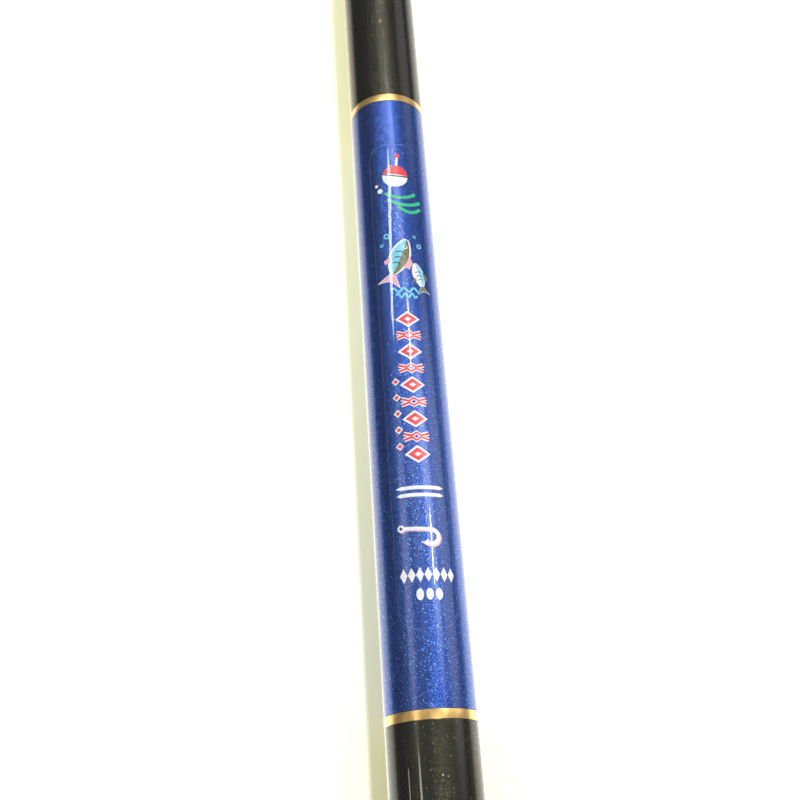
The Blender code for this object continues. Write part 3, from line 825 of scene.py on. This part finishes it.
def line_braid():
    """A tight tubular braid with its overhand knot near the end."""
    rear, front = ends_of("line_braid")
    neck = ends_of("tip_ferrule")[1] + 0.0002
    rings = [(rear, 0.0)]
    rings += [(y, BRAID_NECK if y < neck else BRAID_RADIUS) for y in stations(rear, front, BRAID_STEPS)]
    rings.append((front, 0.0))
    piece = turn("line_braid_tied", rings, 48)
    y, radii, angles = polar(piece)
    turns = angles / (2 * pi)
    body = (radii > 0.5 * BRAID_NECK) & (y > neck)
    weave = np.zeros(len(y))
    pitches = (y - rear) / BRAID_PITCH
    crossing = np.cos(pi * pitches * BRAID_STRANDS)
    for hand in (1, -1):
        strand = 0.5 + 0.5 * np.cos(2 * pi * (turns + hand * pitches) * BRAID_STRANDS)
        over = 0.5 + 0.5 * np.sign(crossing * hand)
        weave = np.maximum(weave, strand * (0.6 + 0.4 * over))
    from_knot = (y - (front - KNOT_INSET)) / KNOT_HALF
    knot = np.exp(-(from_knot**4))
    level = (weave - 0.7) * BRAID_RELIEF + knot * KNOT_SWELL
    level += knot * KNOT_RELIEF * np.cos(2 * pi * (from_knot + turns))
    radii = radii + np.where(body, level, 0.0)
    end_round = np.clip((front - y) / 0.0004, 0, 1)
    radii = np.where(body, radii * np.sqrt(0.15 + 0.85 * end_round), radii)
    set_radii(piece, y, radii, angles)
    finished(piece, "tip", "line_braid", "braid", BRAID)


# The plug

PLUG_ROUNDING = 0.0020
HEAD_ROUNDING = 0.0005
DISH_RADIUS = 0.0070
DISH_DEPTH = 0.0008
DISH_ROUNDING = 0.0003
CORE_RADIUS = 0.0046
CORE_BORE = 0.0028
CORE_BORE_DEPTH = 0.0060
CORE_CHAMFER = 0.0001
HEAD_LENGTH = 0.0130
STOPPER_GAP = 0.00015
STOPPER_CHAMFER = 0.0003
RIB_COUNT = 4
RIB_HEIGHT = 0.0006


def plug_head():
    """The plug's fluted head with its dished end, and the hollow core that the stopper sits on."""
    core, front = ends_of("plug_head")
    head = front - HEAD_LENGTH
    bore = head + CORE_BORE_DEPTH
    dish = front - DISH_DEPTH
    rings = [(bore, 0.0), (bore, CORE_BORE), (core + CORE_CHAMFER, CORE_BORE)]
    rings += [(core, CORE_BORE + CORE_CHAMFER), (core, CORE_RADIUS - CORE_CHAMFER)]
    rings += [(core + CORE_CHAMFER, CORE_RADIUS), (head, CORE_RADIUS)]
    rings += quarter(head, RIM_RADIUS - HEAD_ROUNDING, head + HEAD_ROUNDING, RIM_RADIUS, 4, False)
    rings += [(y, RIM_RADIUS) for y in stations(head + HEAD_ROUNDING, front - PLUG_ROUNDING, 9, 1)]
    rings += quarter(front - PLUG_ROUNDING, RIM_RADIUS, front, RIM_RADIUS - PLUG_ROUNDING, 10, True)[1:]
    rings += quarter(front, DISH_RADIUS + DISH_ROUNDING, front - DISH_ROUNDING, DISH_RADIUS, 4, False)
    rings += [(dish, DISH_RADIUS - DISH_DEPTH), (dish, DISH_RADIUS * 0.5), (dish, 0.0)]
    piece = turn("plug_head_moulded", rings, FLUTED)
    fluted(piece, head, front)
    finished(piece, "plug", "plug_head", "black_plastic", PLASTIC)


def plug_stopper():
    rear, front = ends_of("plug_stopper")
    floor = girth_of("plug_stopper") - RIB_HEIGHT
    edge = floor - STOPPER_CHAMFER
    bore = CORE_RADIUS + STOPPER_GAP
    pitch = (front - rear) / RIB_COUNT
    middles = [rear + pitch * (i + 0.5) for i in range(RIB_COUNT)]
    rings = [(rear, edge), (rear + STOPPER_CHAMFER, floor)]
    rings += ribs(middles, 0.45 * pitch / 2, floor, RIB_HEIGHT, 10)
    rings += [(front - STOPPER_CHAMFER, floor), (front, edge), (front, bore), (rear, bore)]
    finished(turn("plug_stopper_ribbed", rings, ROUND), "plug", "plug_stopper", "rubber", SEAL)


butt_tube()
label_film()
gold_band("rear_gold_band", "rear_band_foil")
gold_band("front_gold_band", "front_band_foil")
grip_sleeve()
mouth_hoop()
thread_bush()
butt_cap()
cap_seal()
cap_buffer()
for section_number, section_facts in SECTIONS.items():
    section(section_number, *section_facts)
tip_section()
tip_ferrule()
line_braid()
plug_head()
plug_stopper()


# The label's printing

BAND = sum(ends_of("rear_gold_band")) / 2  # distances along the label start here
PRINT_STEP = 0.0005
INK_HEIGHT = 0.00002


def patch(outline, material, layer=1):
    """A flat patch of ink on the unrolled film. Its outline is in millimetres, across the film from its top
    line and along it from the rear band."""
    turning = sum(a[0] * b[1] - b[0] * a[1] for a, b in zip(outline, outline[1:] + outline[:1]))
    if turning < 0:
        outline = outline[::-1]
    deselect()
    bpy.ops.mesh.primitive_circle_add(vertices=len(outline), fill_type="NGON")
    piece = bpy.context.object
    for vertex, (across, along) in zip(piece.data.vertices, outline):
        vertex.co = (across / 1000, along / 1000, layer * INK_HEIGHT)
    reach = [across / 1000 for across, along in outline]
    bpy.ops.object.mode_set(mode="EDIT")
    for step in range(ceil(min(reach) / PRINT_STEP), ceil(max(reach) / PRINT_STEP)):
        bpy.ops.mesh.select_all(action="SELECT")
        bpy.ops.mesh.bisect(plane_co=(step * PRINT_STEP, 0, 0), plane_no=(1, 0, 0))
    bpy.ops.mesh.select_all(action="SELECT")
    bpy.ops.mesh.normals_make_consistent()
    bpy.ops.object.mode_set(mode="OBJECT")
    if piece.data.polygons[0].normal.z < 0:
        piece.data.flip_normals()
    piece.data.materials.append(material)
    return piece


def printed(name, patches):
    """Joins a motif's patches and rolls them onto the film."""
    deselect()
    for piece in patches:
        piece.select_set(True)
    bpy.context.view_layer.objects.active = patches[0]
    if len(patches) > 1:
        bpy.ops.object.join()
    piece = bpy.context.object
    piece.name = name
    piece.data.name = name
    for vertex in piece.data.vertices:
        across, along, height = vertex.co
        y = BAND + along
        radius = butt_radius(y) + height
        angle = across / butt_radius(y)
        vertex.co = (radius * sin(angle), y, AXIS + radius * cos(angle))
    apply_modifier(piece, "SOLIDIFY", thickness=1.6 * INK_HEIGHT, offset=-1.0)
    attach(piece, "butt")


def moved(points, across, along, degrees=0.0, scale=1.0):
    c, s = cos(radians(degrees)) * scale, sin(radians(degrees)) * scale
    return [(across + x * c - y * s, along + x * s + y * c) for x, y in points]


def layered(shapes, across=0.0, along=0.0, degrees=0.0, scale=1.0):
    """Patches from outlines, each with its ink and any higher layer, all moved together."""
    return [patch(moved(outline, across, along, degrees, scale), *facts) for outline, *facts in shapes]


def oval(half_across, half_along, count):
    turns = [2 * pi * i / count for i in range(count)]
    return [(half_across * cos(turned), half_along * sin(turned)) for turned in turns]


def disc(radius, count):
    return oval(radius, radius, count)


def rhomb(half_across, half_along):
    return [(half_across, 0), (0, half_along), (-half_across, 0), (0, -half_along)]


def stroke(path, widths):
    """The outline of a line drawn along a path with a pen of changing width."""
    painted_left_reflection, right = [], []
    for i, (x, y) in enumerate(path):
        before, after = path[max(i - 1, 0)], path[min(i + 1, len(path) - 1)]
        dx, dy = after[0] - before[0], after[1] - before[1]
        length = hypot(dx, dy)
        half = (widths[i] if isinstance(widths, list) else widths) / 2
        painted_left_reflection.append((x - dy / length * half, y + dx / length * half))
        right.append((x + dy / length * half, y - dx / length * half))
    return painted_left_reflection + right[::-1]


def bow(across, along, half, rise, count=14):
    """A shallow bow's path, across the pole."""
    return [(across + x, along + rise * (1 - (x / half) ** 2)) for x in stations(-half, half, count)]


def float_motif():
    """A round float with two bubbles and three blades of weed."""
    size = 3.8
    ball = disc(size, 40)
    crown = [(x, y) for x, y in ball if y > 0.1 * size]
    stem = [(-0.4, 0.9 * size), (0.4, 0.9 * size), (0.26, 1.9 * size), (-0.26, 1.9 * size)]
    whole = (
        (stem, WHITE_INK),
        (ball, WHITE_INK),
        (crown, RED_INK, 2),
        (stroke(bow(0, 0.1 * size, 0.99 * size, -0.35), 0.42), SLATE_INK, 3),
        (moved(disc(0.75, 18), 0, 1.95 * size), RED_INK, 2),
    )
    bubbles = (
        (moved(disc(0.8, 18), -3.6, 150.6), WHITE_INK),
        (moved(disc(0.5, 14), -4.6, 152.6), WHITE_INK),
    )
    blades = [
        (stroke(bow(middle, level, half, -1.9), 1.0), GREEN_INK, 2)
        for middle, level, half in ((2.4, 149.6, 4.6), (3.6, 147.1, 5.0), (4.9, 144.7, 3.5))
    ]
    printed("label_float_motif", layered(whole, 1.2, 155.4, -8) + layered(bubbles) + layered(blades))


def fish(across, along, degrees, scale, body, back, fin):
    """A plain small fish seen from the side, head first up the pole."""
    outline = [
        (2.5 * sin(pi * min(1.0, share * 0.93 + 0.03)) ** 0.75, 7.0 - 12.0 * share)
        for share in stations(0, 1, 16)
    ]
    body_shape = outline + [(-x, y) for x, y in outline[::-1]]
    rim = [(x * 1.14 + (0.22 if x > 0 else -0.22), y * 1.04) for x, y in body_shape]
    back_shape = outline + [(x * 0.15, y) for x, y in outline[::-1]]
    tail = [(0.4, -4.6), (3.1, -8.6), (0.6, -7.4), (0, -7.2), (-0.6, -7.4), (-3.1, -8.6), (-0.4, -4.6)]
    tail_rim = [(x * 1.18, y - 0.35 if y < -6 else y) for x, y in tail]
    shapes = [
        (rim, WHITE_INK),
        (tail_rim, WHITE_INK),
        (body_shape, body, 2),
        (tail, fin, 2),
        ([(2.1, 3.0), (4.3, 0.2), (4.0, -2.0), (1.9, -1.6)], fin, 2),
        ([(-2.0, 0.8), (-3.9, -1.6), (-3.3, -2.6), (-1.8, -1.8)], fin, 2),
        (back_shape, back, 3),
        (moved(disc(0.62, 16), 0.5, 4.6), WHITE_INK, 4),
        (moved(disc(0.34, 12), 0.5, 4.7), SLATE_INK, 5),
    ]
    for i in range(3):
        shapes.append((stroke(bow(0.0, 2.2 - 1.9 * i, 1.5 - 0.2 * i, 0.6, 8), 0.34), SLATE_INK, 4))
    return layered(shapes, across, along, degrees, scale)


def fish_motif():
    """Two plain fish with bubbles, over two curls of water."""
    patches = fish(0.4, 126.4, -22, 1.0, CYAN_INK, OLIVE_INK, PINK_INK)
    patches += fish(6.2, 121.0, 14, 0.62, WHITE_INK, CYAN_INK, OLIVE_INK)
    for across, along, size in ((-2.6, 134.6, 0.9), (-4.2, 131.8, 0.6), (6.9, 131.4, 0.8), (5.6, 134.4, 0.5)):
        bubble = ((disc(size, 20), CYAN_INK), (disc(size * 0.5, 14), SLATE_INK, 2))
        patches += layered(bubble, across, along)
    for along, half in ((116.4, 4.4), (114.6, 3.0)):
        crest = [(2.0 - half + 2 * half * i / 24, along + 0.7 * sin(i * pi / 4)) for i in range(25)]
        patches.append(patch(stroke(crest, 0.6), CYAN_INK))
    printed("label_fish_motif", patches)


CHAIN_MIDDLE = 1.7
CHAIN_START, CHAIN_END = 107.0, 66.5
CHAIN_LINKS = 9


def chain_motif():
    """A run of red links edged in white, with small rhombs beside it."""
    big = ((rhomb(3.5, 2.55), WHITE_INK), (rhomb(2.6, 1.85), RED_INK, 2), (rhomb(0.95, 0.68), WHITE_INK, 3))
    small = ((rhomb(1.15, 1.15), WHITE_INK), (rhomb(0.72, 0.72), RED_INK, 2))
    side_link = ((-3.4, 0.9), (-1.2, 0.25), (0, 1.1), (1.2, 0.25), (3.4, 0.9))
    patches = []
    for i, along in enumerate(stations(CHAIN_START, CHAIN_END, CHAIN_LINKS - 1)):
        if i % 2 == 0:
            patches += layered(big, CHAIN_MIDDLE, along)
            continue
        for side in (-1, 1):
            bend = moved([(x, y * side) for x, y in side_link], CHAIN_MIDDLE, along)
            patches += layered(((stroke(bend, 1.25), WHITE_INK), (stroke(bend, 0.62), RED_INK, 2)))
    for i in range(5):
        patches += layered(small, -2.9, 88.0 - 4.75 * i)
    printed("label_chain_motif", patches)


def rule_motif():
    """A pair of white rules with pointed ends."""
    rule = [(-4.9, 0), (-3.7, 0.5), (7.0, 0.5), (8.1, 0), (7.0, -0.5), (-3.7, -0.5)]
    printed("label_rule_motif", [patch(moved(rule, 0, along), WHITE_INK) for along in (57.2, 55.2)])


def hook_motif():
    """A fish hook, white over a pink shadow."""
    shank = [(-3.6 + 0.6 * i, 46.4 - 0.05 * i) for i in range(13)]
    turns = [pi * i / 12 for i in range(1, 13)]
    bend = [(3.6 + 1.9 * sin(turned), 43.9 + 1.9 * cos(turned)) for turned in turns]
    point = [(2.9, 42.0), (2.0, 42.15), (0.9, 42.6)]
    widths = [0.9] * len(shank) + [1.1] * len(bend) + [0.9, 0.7, 0.2]
    wire = stroke(shank + bend + point, widths)
    barb = [(1.5, 42.35), (2.7, 43.35), (2.6, 42.2)]
    eye = moved(disc(0.95, 20), -4.2, 46.45)
    patches = []
    for shift, dye, layer in ((0.35, PINK_INK, 1), (0.0, WHITE_INK, 2)):
        patches += layered([(shape, dye, layer) for shape in (wire, barb, eye)], shift, -shift)
    patches.append(patch(moved(disc(0.42, 14), -4.2, 46.45), SLATE_INK, 3))
    printed("label_hook_motif", patches)


def row_motif(name, shape, start, step, along, count):
    """A row of one white shape across the pole."""
    printed(name, [patch(moved(shape, start + step * i, along), WHITE_INK) for i in range(count)])


EDGE_LOW, EDGE_HIGH = 20.5, 167.0
EDGE_LEFT, EDGE_RIGHT = -6.5, 9.6
EDGE_CORNER = 5.0


def transfer_edge():
    """The rounded edge of the clear transfer that carries the printing."""
    painted_left_reflection, right = EDGE_LEFT + EDGE_CORNER, EDGE_RIGHT - EDGE_CORNER
    low, high = EDGE_LOW + EDGE_CORNER, EDGE_HIGH - EDGE_CORNER
    path = []
    for across, along, start in ((right, high, 0), (painted_left_reflection, high, 90), (painted_left_reflection, low, 180), (right, low, 270)):
        for i in range(9):
            turned = radians(start + 90 * i / 8)
            path.append((across + EDGE_CORNER * cos(turned), along + EDGE_CORNER * sin(turned)))
    path.append(path[0])
    printed("label_transfer_edge", [patch(stroke(path, 0.14), TRANSFER_EDGE)])


float_motif()
fish_motif()
chain_motif()
rule_motif()
hook_motif()
row_motif("label_rhomb_row_motif", rhomb(1.0, 1.9), -4.3, 2.1, 34.0, 7)
row_motif("label_dot_row_motif", oval(0.95, 1.5, 20), -0.4, 2.45, 29.0, 3)
transfer_edge()


# The table, the light and the camera

CAMERA_BACK = 0.04261
CAMERA_UP = 0.28219
CAMERA_TURN = (24.702, 2.123, -3.683)
LENS = 50.02
LABEL_MIDDLE = 0.10
ROOM_HORIZON = WHITE
ROOM_OVERHEAD = (0.22, 0.22, 0.225)
ROOM_LOW_REFLECTION = (0.18, 0.18, 0.18)
ROOM_HIGH_REFLECTION = (0.32, 0.32, 0.33)


def table():
    """A pale table. The camera sees it lit up to white by its own glow. Beside the label that glow is cream
    and weaker, and weaker still towards the camera: painted shade that tints and deepens the pole's shadow
    there.
    Reflections see a painted reflection: a bright strip beside the pole, yellower on its shaded left, and a
    grey table further off."""
    deselect()
    bpy.ops.mesh.primitive_plane_add(size=6, location=(0, 0, 0))
    floor = bpy.context.object
    floor.name = "pale_table"
    look = Finish("Pale table", Roughness=0.75, Specular_IOR_Level=0.2)
    seen = look.add("LightPath").outputs
    gloss = seen["Is Glossy Ray"]
    here = look.object_place()
    spot = look.separated(here)
    from_side = look.number("ABSOLUTE", spot["X"])
    from_label = look.number("ABSOLUTE", look.number("SUBTRACT", spot["Y"], LABEL_MIDDLE))
    ahead = look.stepped(spot["Y"], -0.04, 0.005)

    # Painted shade: beside the pole and the label the camera glow is cream, and it is yellower and weaker
    # towards the camera. The pole's real shadow there therefore shows cream and deepens. Far off, the glow is
    # stronger and white.
    off_side = look.stepped(from_side, 0.02, 0.05)
    plain = look.number("MAXIMUM", off_side, look.stepped(from_label, 0.18, 0.26))
    painted_shadow_cream = look.mixed(ahead, (1.0, 0.97, 0.22), (1.0, 1.0, 0.38))
    shown = look.mixed(plain, painted_shadow_cream, WHITE)
    squeezed = look.vector("MULTIPLY", here, (1.0, 0.45, 0.0))
    far = look.stepped(look.vector("LENGTH", squeezed), 0.14, 0.42)
    glow = look.number("MULTIPLY_ADD", look.stepped(spot["Y"], -0.06, 0.15), 0.20, 0.30)
    glow = look.number("MULTIPLY_ADD", far, 0.45, glow)
    glow = look.number("MULTIPLY", seen["Is Camera Ray"], glow)

    # Painted reflection: for glossy rays alone the table glows in a bright strip beside the pole. The strip
    # is yellower on its left, where the table lies in shadow, and the table is grey further off.
    painted_left_reflection = look.mixed(ahead, (1.0, 0.98, 0.90), (1.0, 0.92, 0.66))
    mirrored = look.mixed(look.stepped(spot["X"], -0.01, 0.01), painted_left_reflection, (1.0, 0.96, 0.84))
    beside = look.stepped(from_side, 0.12, 0.02)
    nearer = look.number("MULTIPLY_ADD", look.stepped(spot["Y"], 0.32, 0.08), 1.2, 0.8)
    behind = look.number("MULTIPLY_ADD", look.stepped(spot["Y"], -0.24, -0.10), 0.80, 0.20)
    painted_reflection_strip = gloss
    for share in (beside, nearer, behind):
        painted_reflection_strip = look.number("MULTIPLY", painted_reflection_strip, share)
    look.give(
        Base_Color=look.mixed(gloss, (0.90, 0.90, 0.90), (0.20, 0.21, 0.23)),
        Emission_Color=look.mixed(gloss, shown, mirrored),
        Emission_Strength=look.number("ADD", glow, painted_reflection_strip),
    )
    floor.data.materials.append(look.material)


def studio():
    """Light from a white horizon. Reflections see a dim room, and the camera plain white."""
    world = bpy.data.worlds.new("Studio")
    bpy.context.scene.world = world
    room = Nodes(world, "Background")
    height = room.separated(room.add("TexCoord").outputs["Generated"])["Z"]
    lit = room.ramp(height, (ROOM_HORIZON, ROOM_OVERHEAD), (0.04, 0.40))
    reflected = room.ramp(height, (ROOM_LOW_REFLECTION, ROOM_HIGH_REFLECTION), (0.20, 0.85))
    seen = room.add("LightPath").outputs
    colour = room.mixed(seen["Is Glossy Ray"], lit, reflected)
    room.give(Color=room.mixed(seen["Is Camera Ray"], colour, WHITE))


def faded(made, middle, along, across):
    """Makes a lamp brightest at its middle and dark at its rim."""
    glow = Nodes(made, "Emission")
    place = glow.vector("SUBTRACT", glow.add("NewGeometry").outputs["Position"], middle)
    shares = [glow.vector("DOT_PRODUCT", place, axis) for axis in (along, across)]
    squares = [glow.number("MULTIPLY", share, share) for share in shares]
    glow.give(Strength=glow.stepped(glow.number("ADD", *squares), 1.0, 0.0))


def lamp(name, start, end, height, width, radiance, soft=False, tint=WHITE):
    """A strip lamp between two points, given across and along from the pole at the rear band, at a height
    above it. It faces down to the pole. A soft one is an ellipse that fades towards its rim."""
    start, end = Vector((*start, height)), Vector((*end, height))
    made = bpy.data.lights.new(name, "AREA")
    made.shape = "ELLIPSE" if soft else "RECTANGLE"
    length = (end - start).length
    made.size, made.size_y = width, length
    made.energy = radiance * pi * width * length
    made.color = tint
    middle = (start + end) / 2
    along = (end - start).normalized()
    back = (middle - Vector((0, 0.1, 0))).normalized()
    back = (back - along * back.dot(along)).normalized()
    across = along.cross(back)
    middle += Vector((0, BAND, AXIS))
    if soft:
        faded(made, middle, along * 2 / length, across * 2 / width)
    lamp_object = bpy.data.objects.new(name, made)
    turned = Matrix((across, along, back)).transposed().to_4x4()
    turned.translation = middle
    lamp_object.matrix_world = turned
    lamp_object.visible_camera = False
    bpy.context.collection.objects.link(lamp_object)


def camera():
    made = bpy.data.cameras.new("Camera")
    made.lens = LENS
    made.clip_start = 0.01
    eye = bpy.data.objects.new("Camera", made)
    eye.location = (0, BAND - CAMERA_BACK, AXIS + CAMERA_UP)
    eye.rotation_euler = [radians(angle) for angle in CAMERA_TURN]
    bpy.context.collection.objects.link(eye)
    bpy.context.scene.camera = eye


table()
studio()
# Each one's start and end across and along, then its height, its width and its radiance
lamp("key over the butt", (0.385, -0.95), (0.385, -0.12), 1.2, 0.10, 43)
lamp("key over the tip", (0.43, 1.75), (0.43, 2.6), 1.2, 0.14, 34)
lamp("far lane", (0.00, 0.64), (0.27, 0.34), 0.5, 0.19, 1.6, soft=True)
lamp("far wash", (-0.12, 0.84), (0.16, 0.40), 0.5, 0.46, 0.42, soft=True)
lamp("near lane", (0.25, 0.44), (0.46, 0.11), 0.5, 0.32, 2.5, soft=True)
lamp("right lane", (0.90, 0.00), (0.90, 0.78), 0.36, 0.85, 1.0, soft=True)
lamp("far right lane", (0.90, 0.75), (0.90, 1.45), 0.32, 0.8, 0.42, soft=True)
lamp("middle lane", (-0.04, 0.38), (0.09, 0.13), 0.5, 0.36, 0.5, soft=True)
lamp("left lane", (-0.20, 0.37), (-0.47, 0.06), 0.5, 0.26, 1.15, soft=True)
lamp("low left glint", (-1.06, 0.12), (-1.02, 0.0), 0.5, 0.03, 7)
lamp("low gold glint", (-0.356, 0.088), (-0.348, -0.038), 0.5, 0.07, 5, soft=True, tint=(1.0, 0.98, 0.66))
lamp("first glint", (-0.020, 0.528), (-0.251, 0.406), 0.5, 0.036, 12)
lamp("second glint", (0.199, 0.417), (0.143, 0.348), 0.5, 0.022, 22)
lamp("third glint", (0.377, 0.262), (0.335, 0.199), 0.5, 0.022, 30)
camera()

scene = bpy.context.scene
scene.view_settings.view_transform = "Standard"
